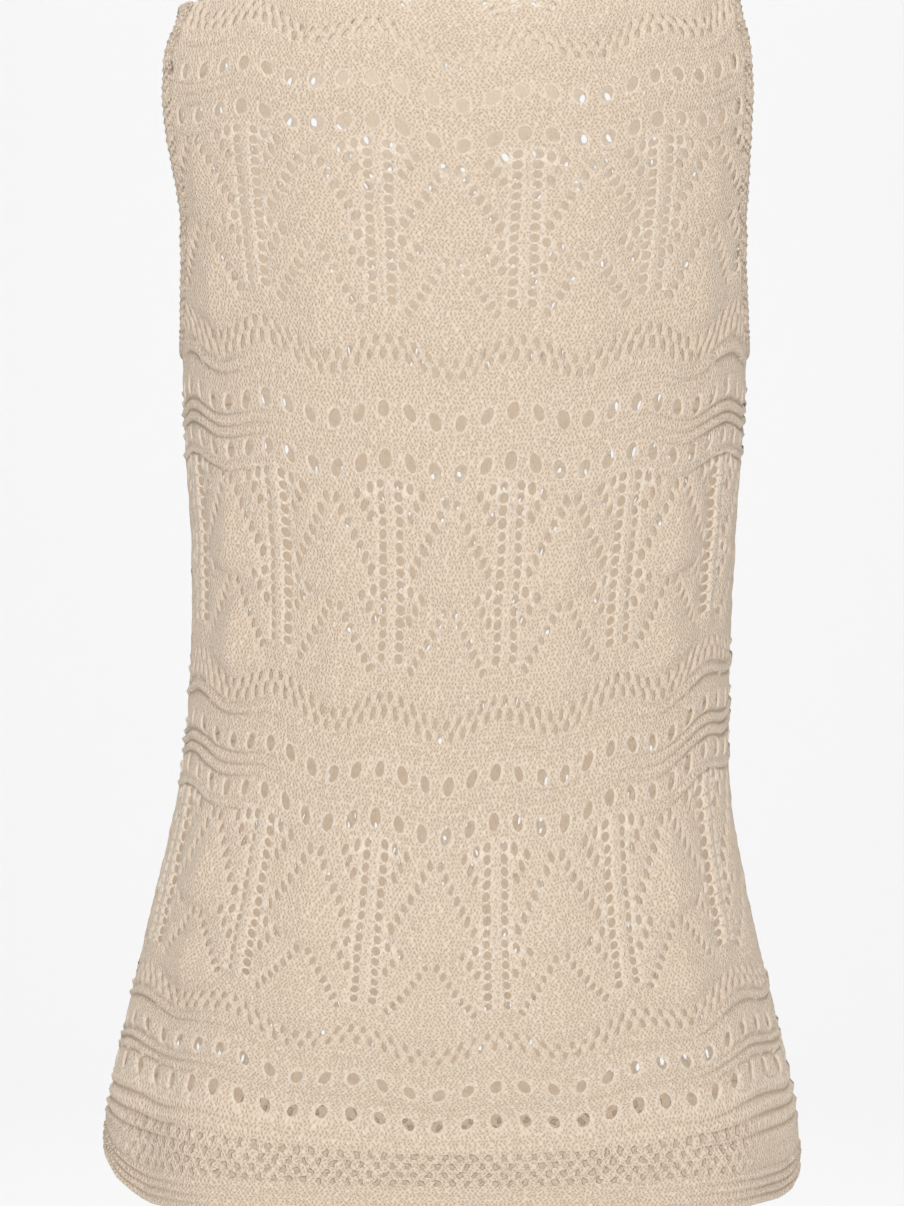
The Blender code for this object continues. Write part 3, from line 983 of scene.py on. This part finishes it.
def knit_fields(panel, points, across, course, corner):
    """For every point of a form, how far the ridges and the leaves stand out there, and
    how far the eyelets open, across and upwards."""
    rows = points.shape[1]
    paths = neck_path(rows, corner)
    paths += [(i, j) for i in (0, -1) for j in range(BODY_ROWS, rows)]
    far = np.full(across.shape, 1.0)
    for place in points[tuple(np.array(paths).T)]:
        far = np.minimum(far, np.linalg.norm(points - place, axis=-1))
    fade = ease(far, *EDGE_FADE)
    aside = ease(np.abs(across), SIDE_FROM, SIDE_TO)
    centre, side, leaf = (
        table_value(RELIEF, RELIEF_COLUMNS, name, course) for name in RELIEF_COLUMNS[1:]
    )
    wide, high = (
        table_value(OPENINGS, OPENING_COLUMNS, name, course) for name in OPENING_COLUMNS[1:]
    )
    ridge = (centre + (side - centre) * aside) * fade
    leaf = leaf * (1 + SIDE_LEAVES * aside) * ease(np.abs(points[..., 1]), *SEAM_FADE) * fade
    wide = wide * (1 - aside * (1 - SIDE_OPENING))
    if panel == "front":
        wide, high = wide * FRONT_OPENING[0], high * FRONT_OPENING[1]
    return np.stack([ridge, leaf, 0 * leaf], -1), np.stack([wide, high, 0 * wide], -1)


# ---------------------------------------------------------------- the wrapping tree
SOCKETS = {
    int: "NodeSocketInt",
    float: "NodeSocketFloat",
    bpy.types.Object: "NodeSocketObject",
    bpy.types.Material: "NodeSocketMaterial",
}


def new_tree(name, start, values):
    """An empty geometry tree with one geometry output. Its named inputs are the geometry
    that it starts from and one for each value, which is its default."""
    tree = bpy.data.node_groups.new(name, "GeometryNodeTree")
    sockets = tree.interface
    sockets.new_socket(start, in_out="INPUT", socket_type="NodeSocketGeometry")
    for label, value in values.items():
        kind = SOCKETS[type(value)]
        sockets.new_socket(label, in_out="INPUT", socket_type=kind).default_value = value
    sockets.new_socket("Geometry", in_out="OUTPUT", socket_type="NodeSocketGeometry")
    nodes = Nodes(tree)
    source = tree.nodes.new("NodeGroupInput")
    given = {label: Wire(nodes, source.outputs[label]) for label in (start, *values)}
    return tree, nodes, given


def read(nodes, name, kind="FLOAT"):
    """A named attribute."""
    return nodes.add(
        "GeometryNodeInputNamedAttribute", {"data_type": kind}, {"Name": name}
    )


def keep(nodes, geometry, name, value, kind="FLOAT", domain="POINT"):
    """Stores a named attribute."""
    return nodes.add(
        "GeometryNodeStoreNamedAttribute", {"data_type": kind, "domain": domain},
        {"Geometry": geometry, "Name": name, "Value": value},
    )


def xyz(nodes, x=0.0, y=0.0, z=0.0):
    """A vector of three values."""
    return nodes.add("ShaderNodeCombineXYZ", inputs={0: x, 1: y, 2: z})


def moved(nodes, geometry, **to):
    """Geometry with its points at a new Position, or moved by an Offset."""
    return nodes.add("GeometryNodeSetPosition", inputs={"Geometry": geometry, **to})


def welded(nodes, geometry, distance):
    """Geometry whose points within a distance of one another are made one."""
    inputs = {"Geometry": geometry, "Distance": distance}
    return nodes.add("GeometryNodeMergeByDistance", inputs=inputs)


def laid_on(nodes, points, repeat):
    """A repeat of the knitting at each of the points."""
    repeat = nodes.add("GeometryNodeObjectInfo", inputs={"Object": repeat}, output="Geometry")
    inputs = {"Points": points, "Instance": repeat}
    return nodes.add("GeometryNodeInstanceOnPoints", inputs=inputs)


def nearest(nodes, surface, name, place):
    """A surface's named vector, at its point nearest to a place."""
    return nodes.add(
        "GeometryNodeSampleNearestSurface", {"data_type": "FLOAT_VECTOR"},
        {"Mesh": surface, "Value": read(nodes, name, "FLOAT_VECTOR"), "Sample Position": place},
    )


def end_tree(nodes, geometry, yarn):
    """Ends a tree with a smooth real mesh in its yarn."""
    geometry = nodes.add("GeometryNodeSetShadeSmooth", inputs={0: geometry})
    geometry = nodes.add("GeometryNodeRealizeInstances", inputs={0: geometry})
    geometry = nodes.add("GeometryNodeSetMaterial", inputs={0: geometry, "Material": yarn})
    nodes.add("NodeGroupOutput", inputs={0: geometry})


def lace_tree(values):
    """Lays the repeats of lace side by side, trims the sheet to the panel's flat shape
    and wraps it on the worn form with its relief and thickness."""
    tree, nodes, given = new_tree("lace panel", "Form", values)
    flat_weld, worn_weld, cloth_weld = 0.004, 0.00012, 0.00001
    vectors = nodes.vectors
    position = nodes.add("GeometryNodeInputPosition")
    form = keep(nodes, given["Form"], "worn_place", position, "FLOAT_VECTOR")
    flat_form = moved(nodes, form, Position=read(nodes, "flat_place", "FLOAT_VECTOR"))

    # The flat sheet: a grid of repeats, and the hem's own in a line below them
    across, down = given["Repeats Across"], given["Repeats Down"]
    wide, high = given["Repeat Stitches"], given["Repeat Courses"]
    grid = nodes.add("GeometryNodeMeshGrid", inputs={
        "Size X": (across - 1.0) * wide, "Size Y": (down - 1.0) * high,
        "Vertices X": across, "Vertices Y": down,
    })
    corner = xyz(nodes, wide * -0.5, given["First Course"] - (down - 1.0) * high * 0.5)
    grid = nodes.add("GeometryNodeTransform", inputs={"Geometry": grid, "Translation": corner})
    line = nodes.add("GeometryNodeMeshLine", inputs={
        "Count": across, "Start Location": xyz(nodes, across * wide * -0.5),
        "Offset": xyz(nodes, wide),
    })
    repeats = [
        laid_on(nodes, grid, given["Lace Repeat"]), laid_on(nodes, line, given["Hem Repeat"])
    ]
    sheet = nodes.add("GeometryNodeJoinGeometry", inputs={0: repeats})
    sheet = nodes.add("GeometryNodeRealizeInstances", inputs={0: sheet})
    sheet = welded(nodes, sheet, flat_weld)

    # Eyelets draw closer and differ in size, and the stitches stray
    middle = read(nodes, "from_middle", "FLOAT_VECTOR")
    seeded = xyz(nodes, z=given["Seed"] * SEED_STEP)
    centre = vectors("SUBTRACT", position, middle)
    pick = noise(nodes, vectors("ADD", centre, seeded), PICK_SCALE, detail=0.0)
    size = ((pick - 0.5) * 2.0 * given["Eyelet Variation"] + 1.0).at_most(LARGEST_EYELET)
    opened = vectors("MULTIPLY", middle, nearest(nodes, flat_form, "opening", centre))
    grown = vectors("SUBTRACT", vectors("SCALE", opened, scale=size), middle)
    seeded = vectors("ADD", position, seeded)
    strayed = vectors("MULTIPLY", stray(nodes, seeded, STRAY_SCALE), (2.0, 2.0, 0.0))
    strayed = vectors("SCALE", strayed, scale=given["Unevenness"])
    sheet = keep(nodes, sheet, "cloth", position, "FLOAT2", "CORNER")
    sheet = moved(nodes, sheet, Offset=vectors("ADD", grown, strayed))

    # The sheet is cut to the form's flat shape
    away = nodes.add(
        "GeometryNodeProximity", {"target_element": "FACES"}, {0: flat_form}, output=1
    )
    sheet = keep(nodes, sheet, "inside", away.less_than(TRIM_MARGIN))
    any_inside = 0.01
    sheet = nodes.add("GeometryNodeDeleteGeometry", {"domain": "FACE"}, {
        "Geometry": sheet, "Selection": read(nodes, "inside").less_than(any_inside),
    })

    # It is wrapped on the worn form, with its relief
    worn, outward, relief = (
        nearest(nodes, flat_form, name, position)
        for name in ("worn_place", "outward", "relief")
    )
    relief = nodes.add("ShaderNodeSeparateXYZ", inputs={0: relief})
    sheet = keep(nodes, sheet, "ridge", read(nodes, "ridge") * relief)
    sheet = keep(nodes, sheet, "swell", read(nodes, "swell") * nodes.again(relief, 1))
    pucker = noise(nodes, seeded, PUCKER_SCALE, detail=1.0)
    lift = (
        read(nodes, "ridge") * given["Ridge Height"]
        + read(nodes, "swell") * given["Leaf Height"]
        + (pucker - 0.5) * given["Leaf Height"]
        + read(nodes, "rim") * given["Cloth Thickness"] * RIM_SWELL
        + given["Cloth Thickness"] * 0.5
    )
    sheet = keep(nodes, sheet, "outward", outward, "FLOAT_VECTOR")
    lifted = vectors("ADD", worn, vectors("SCALE", outward, scale=lift))
    sheet = welded(nodes, moved(nodes, sheet, Position=lifted), worn_weld)

    # The wrong side, thinner round the eyelets, closes the cloth
    depth = given["Cloth Thickness"] * (1.0 - read(nodes, "rim") * RIM_THINNING)
    inward = vectors("SCALE", read(nodes, "outward", "FLOAT_VECTOR"), scale=-depth)
    back = nodes.add("GeometryNodeExtrudeMesh", {"mode": "FACES"}, {
        "Mesh": sheet, "Offset": inward, "Offset Scale": 1.0, "Individual": False,
    })
    back = nodes.add("GeometryNodeFlipFaces", inputs={"Mesh": back})
    back = keep(nodes, back, "wrong_side", 1.0)
    cloth = nodes.add("GeometryNodeJoinGeometry", inputs={0: [sheet, back]})
    end_tree(nodes, welded(nodes, cloth, cloth_weld), given["Yarn"])
    return tree


def made_by(tree, name, mesh, values):
    """A plain mesh object from a tree's result; values are its named inputs."""
    maker = bpy.data.objects.new(name + "_maker", mesh)
    bpy.context.scene.collection.objects.link(maker)
    modifier = maker.modifiers.new("maker", "NODES")
    modifier.node_group = tree
    for item in tree.interface.items_tree:
        if item.in_out == "INPUT" and item.name in values:
            modifier[item.identifier] = values[item.name]
    maker.update_tag()
    graph = bpy.context.evaluated_depsgraph_get()
    result = bpy.data.meshes.new_from_object(maker.evaluated_get(graph), depsgraph=graph)
    bpy.data.objects.remove(maker, do_unlink=True)
    result.name = name
    while result.materials[0] is None:
        result.materials.pop(index=0)
    turn_outwards(result)
    piece = bpy.data.objects.new(name, result)
    bpy.context.scene.collection.objects.link(piece)
    return piece


def turn_outwards(mesh):
    """Turns a closed mesh's faces to point outwards."""
    shape = bmesh.new()
    shape.from_mesh(mesh)
    inside_out = shape.calc_volume(signed=True) < 0
    shape.free()
    if inside_out:
        mesh.flip_normals()


def drop_attributes(piece, kept):
    """Removes the working attributes that no finish reads."""
    attributes = piece.data.attributes
    for name in [item.name for item in attributes if not (item.is_required or item.is_internal)]:
        if name not in kept:
            attributes.remove(attributes[name])


class KNIT_OT_lace_panels(bpy.types.Operator):
    """Make the lace-knit back and front"""

    bl_idname = "knit_top.lace_panels"
    bl_label = "Lace Panels"

    def execute(self, context):
        sizes, _, colours, _ = settings()
        lace = flat_repeat(
            "lace_repeat", TILE_TOP, TILE_TOP + REPEAT_COURSES,
            eyelets(EYELET_RUNS, EYELET_ROWS), RIDGE_BANDS, sizes.eyelet_scale,
        )
        hem = flat_repeat(
            "hem_repeat", LAST_REPEAT, HEM_COURSE,
            eyelets((), HEM_EYELET_ROWS), HEM_RIDGE_BANDS, sizes.eyelet_scale, dies_out=True,
        )
        for helper in (lace, hem):
            context.scene.collection.objects.link(helper)
        values = {
            "Lace Repeat": lace,
            "Hem Repeat": hem,
            "Repeats Across": REPEATS[0],
            "Repeats Down": REPEATS[1],
            "Repeat Stitches": float(REPEAT_STITCHES),
            "Repeat Courses": float(REPEAT_COURSES),
            "First Course": float(REPEAT_COURSES),
            "Eyelet Variation": sizes.eyelet_variation,
            "Unevenness": sizes.unevenness,
            "Ridge Height": sizes.ridge_height,
            "Leaf Height": sizes.swell_height,
            "Cloth Thickness": sizes.cloth_thickness,
            "Seed": 0.0,  # set for each panel
            "Yarn": yarn_finish("cream_lace_knit", colours),
        }
        tree = lace_tree(values)
        for panel, seed in (("back", sizes.seed), ("front", sizes.seed + FRONT_SEED)):
            values["Seed"] = float(seed)
            piece = made_by(tree, panel + "_lace", form_mesh(panel), values)
            drop_attributes(piece, ("cloth", "ridge", "rim", "wrong_side", "sharp_face"))
            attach(piece, "root")
            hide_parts(panel + "_panel")
        for helper in (lace, hem):
            bpy.data.objects.remove(helper, do_unlink=True)
        return {"FINISHED"}


# ---------------------------------------------------------------- rolled edges
def neck_path(rows, corner):
    """Column and row of each point of a form along its neckline."""
    left, right = STRAP_COLUMNS, STRAP_COLUMNS + CENTRE_COLUMNS
    path = [(left, j) for j in range(rows - 1, corner, -1)]
    path += [(i, corner) for i in range(left, right + 1)]
    return path + [(right, j) for j in range(corner + 1, rows)]


def edge_paths(side=0):
    """Angles and heights of the back's and the front's part of an edge: round the neck,
    or round the armhole of a side, -1 or 1."""
    for panel in ("back", "front"):
        angle, height, corner = panel_grid(panel)
        columns, rows = angle.shape
        path = neck_path(rows, corner)
        if side:
            column = 0 if side < 0 else columns - 1
            path = [(column, j) for j in range(BODY_ROWS, rows)]
        index = tuple(np.array(path if panel == "back" else path[::-1]).T)
        yield panel, angle[index], height[index]


def even_loop(side):
    """Evenly spaced points, outward and sideways directions once round an edge."""
    parts = [form_surface(*part) for part in edge_paths(side)]
    points, outward = (np.concatenate(both) for both in zip(*parts))
    apart = np.linalg.norm(points - np.roll(points, 1, 0), axis=1) > 2 * SEAM_GAP
    loop = np.flatnonzero(apart)
    loop = np.append(loop, loop[0])
    points, outward = points[loop], outward[loop]
    run = np.concatenate([[0], np.cumsum(np.linalg.norm(np.diff(points, axis=0), axis=1))])
    count = int(round(run[-1] / EDGE_POINT_SPACING))
    even = np.linspace(0, run[-1], count, endpoint=False)

    def smoothed(values):
        values = np.stack([np.interp(even, run, values[:, k]) for k in range(3)], axis=-1)
        for _ in range(EDGE_SMOOTHING):
            values = (np.roll(values, 1, 0) + 2 * values + np.roll(values, -1, 0)) / 4
        return values

    points, outward = smoothed(points), smoothed(outward)
    along = np.roll(points, -1, 0) - np.roll(points, 1, 0)
    sideways = unit(np.cross(along, outward))
    if (sideways * (points.mean(0) - points)).sum() < 0:
        sideways = -sideways
    return points, unit(outward), sideways


def rolled_edge_tree(values):
    """A rounded strip that follows an edge and laps over the lace, with a small swell
    at each stitch."""
    tree, nodes, given = new_tree("rolled edge", "Loop", values)
    seam_weld = 0.00002
    vectors = nodes.vectors
    around, sides = given["Points Round"], given["Section Sides"]
    sheet = nodes.add("GeometryNodeMeshGrid", inputs={
        "Vertices X": around + 1.0, "Vertices Y": sides + 1.0,
    })
    index = nodes.add("GeometryNodeInputIndex")
    step = nodes.maths("FLOOR", (index + 0.5) / (sides + 1.0))
    turn = (index - step * (sides + 1.0)) / sides
    place = nodes.maths("FLOORED_MODULO", step, around)
    middle, outward, sideways = (
        nodes.add(
            "GeometryNodeSampleIndex", {"data_type": "FLOAT_VECTOR", "domain": "POINT"},
            {"Geometry": given["Loop"], "Value": value, "Index": place},
        )
        for value in (
            nodes.add("GeometryNodeInputPosition"),
            read(nodes, "outward", "FLOAT_VECTOR"),
            read(nodes, "sideways", "FLOAT_VECTOR"),
        )
    )
    wide, high = (turn * (2 * math.pi)).cosine(), (turn * (2 * math.pi)).sine()
    wide, high = (way.sign() * abs(way) ** given["Squareness"] for way in (wide, high))
    phase = place / given["Points to a Stitch"]
    swell = (phase * (2 * math.pi)).cosine() * given["Stitch Relief"] + 1.0
    seeded = xyz(nodes, place, given["Seed"])
    uneven = noise(nodes, seeded, EDGE_SCALE, detail=1.0, flat=True)
    size = swell + (uneven - 0.5) * EDGE_UNEVENNESS
    across = wide * given["Width"] * 0.5 * size + given["Width"] * 0.5 - given["Overlap"]
    depth = high * given["Thickness"] * 0.5 * size
    sheet = keep(
        nodes, sheet, "cloth", xyz(nodes, turn * sides * 0.5, step / 2.0), "FLOAT2", "CORNER"
    )
    at = vectors("ADD", middle, vectors("SCALE", sideways, scale=across))
    at = vectors("ADD", at, vectors("SCALE", outward, scale=depth))
    strip = welded(nodes, moved(nodes, sheet, Position=at), seam_weld)
    end_tree(nodes, strip, given["Yarn"])
    return tree


def loop_mesh(name, side):
    """An edge's points as a mesh that knows its outward and sideways directions."""
    points, outward, sideways = even_loop(side)
    mesh = bpy.data.meshes.new(name)
    mesh.from_pydata(points.tolist(), [], [])
    store(mesh, "outward", "FLOAT_VECTOR", outward)
    store(mesh, "sideways", "FLOAT_VECTOR", sideways)
    return mesh


class KNIT_OT_rolled_edges(bpy.types.Operator):
    """Make the rolled edges of the neck and the armholes"""

    bl_idname = "knit_top.rolled_edges"
    bl_label = "Rolled Edges"

    def execute(self, context):
        sizes, edge, colours, _ = settings()
        values = {
            "Points Round": 0,  # set for each edge
            "Section Sides": EDGE_SIDES,
            "Width": edge.width,
            "Thickness": edge.thickness,
            "Overlap": edge.overlap,
            "Squareness": EDGE_SQUARENESS,
            "Points to a Stitch": EDGE_STITCH_POINTS,
            "Stitch Relief": EDGE_STITCH_SWELL,
            "Seed": float(sizes.seed),
            "Yarn": yarn_finish("cream_edge_knit", colours),
        }
        tree = rolled_edge_tree(values)
        for name, side, node in (
            ("neck_edge", 0, "neck_band"),
            ("armhole_edge_left", -1, "armhole_band_left"),
            ("armhole_edge_right", 1, "armhole_band_right"),
        ):
            loop = loop_mesh(name, side)
            values["Points Round"] = len(loop.vertices)
            piece = made_by(tree, name, loop, values)
            drop_attributes(piece, ("cloth",))
            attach(piece, "root")
            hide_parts(node)
        return {"FINISHED"}


# ---------------------------------------------------------------- the studio
def backdrop_mesh():
    """A pale floor that curves up into a wall, well behind where a viewer can stand."""
    profile = [(BACKDROP_START, FLOOR)]
    for k in range(TURN_FACES + 1):
        angle = math.pi / 2 * k / TURN_FACES
        forward = WALL_PLACE - WALL_TURN + WALL_TURN * math.sin(angle)
        profile.append((forward, FLOOR + WALL_TURN * (1 - math.cos(angle))))
    profile.append((WALL_PLACE, WALL_TOP))
    half = BACKDROP_WIDTH / 2
    points = [(x, y, z) for y, z in profile for x in (-half, half)]
    faces = [(2 * k, 2 * k + 1, 2 * k + 3, 2 * k + 2) for k in range(len(profile) - 1)]
    mesh = bpy.data.meshes.new("studio_backdrop")
    mesh.from_pydata(points, [], faces)
    mesh.shade_smooth()
    return mesh


def plain_paint():
    """Matt, nearly white paint with a faint unevenness."""
    material, nodes = new_material("pale_backdrop")
    tone = noise(nodes, nodes.add("ShaderNodeTexCoord", output="Object"), 0.4)
    colour = nodes.blend(tone, (0.90, 0.90, 0.90, 1.0), (0.915, 0.915, 0.915, 1.0))
    shader = nodes.add("ShaderNodeBsdfPrincipled", inputs={
        "Base Color": colour, "Roughness": 0.95, "Specular IOR Level": 0.0,
    })
    nodes.add("ShaderNodeOutputMaterial", inputs={"Surface": shader})
    return material


def soft_light(name, place, target, size, power, colour=(1.0, 1.0, 1.0)):
    """A soft light of a width and a height that points at a target."""
    light = bpy.data.lights.new(name, "AREA")
    light.shape = "RECTANGLE"
    light.size, light.size_y = size
    light.energy = power
    light.color = colour
    item = bpy.data.objects.new(name, light)
    item.location = place
    item.visible_camera = False
    item.rotation_euler = (Vector(target) - Vector(place)).to_track_quat("-Z", "Y").to_euler()
    bpy.context.scene.collection.objects.link(item)


class KNIT_OT_studio(bpy.types.Operator):
    """Make the camera, the soft lights and the pale backdrop"""

    bl_idname = "knit_top.studio"
    bl_label = "Studio"

    def execute(self, context):
        studio = settings()[3]
        scene = context.scene
        camera = bpy.data.objects.new("camera", bpy.data.cameras.new("camera"))
        camera.data.sensor_width = 36.0
        camera.data.lens = studio.lens * 1000
        camera.data.clip_end = 60.0
        camera.location = (CAMERA_SIDE, -studio.distance, CAMERA_HEIGHT)
        camera.rotation_euler = (math.pi / 2 + CAMERA_PITCH, 0.0, 0.0)
        scene.collection.objects.link(camera)
        scene.camera = camera

        backdrop = bpy.data.objects.new("studio_backdrop", backdrop_mesh())
        backdrop.data.materials.append(plain_paint())
        scene.collection.objects.link(backdrop)

        soft_light("key_light", *KEY_LIGHT, studio.key)
        for light in LIGHTS:
            soft_light(*light)
        world = bpy.data.worlds.new("room")
        world.use_nodes = True
        background = world.node_tree.nodes["Background"]
        background.inputs["Color"].default_value = (1.0, 1.0, 1.0, 1.0)
        background.inputs["Strength"].default_value = studio.ambient
        scene.world = world
        scene.view_settings.view_transform = "Standard"
        scene.view_settings.look = "None"
        return {"FINISHED"}


# ---------------------------------------------------------------- the add-on
class KNIT_PT_top(bpy.types.Panel):
    """Lists the settings and the pieces"""

    bl_label = "Knit Top"
    bl_space_type = "VIEW_3D"
    bl_region_type = "UI"
    bl_category = "Knit Top"

    def draw(self, context):
        for group, operators in zip(settings(), PANEL_OPERATORS):
            box = self.layout.box()
            for name in group.__annotations__:
                box.prop(group, name)
            for operator in operators:
                box.operator(operator)


PANEL_OPERATORS = (
    ("knit_top.lace_panels",), ("knit_top.rolled_edges",), (), ("knit_top.studio",)
)
GROUPS = {
    "knit_sizes": KnitSizes,
    "edge_sizes": EdgeSizes,
    "yarn_colours": YarnColours,
    "studio": StudioSettings,
}
CLASSES = (
    *GROUPS.values(),
    KNIT_OT_lace_panels,
    KNIT_OT_rolled_edges,
    KNIT_OT_studio,
    KNIT_PT_top,
)


def register():
    for item in CLASSES:
        bpy.utils.register_class(item)
    for name, group in GROUPS.items():
        setattr(bpy.types.Scene, name, PointerProperty(type=group))


def unregister():
    for name in GROUPS:
        delattr(bpy.types.Scene, name)
    for item in reversed(CLASSES):
        bpy.utils.unregister_class(item)


def main():
    """Makes every piece and the studio."""
    register()
    bpy.ops.knit_top.lace_panels()
    bpy.ops.knit_top.rolled_edges()
    bpy.ops.knit_top.studio()


if __name__ == "__main__":
    main()
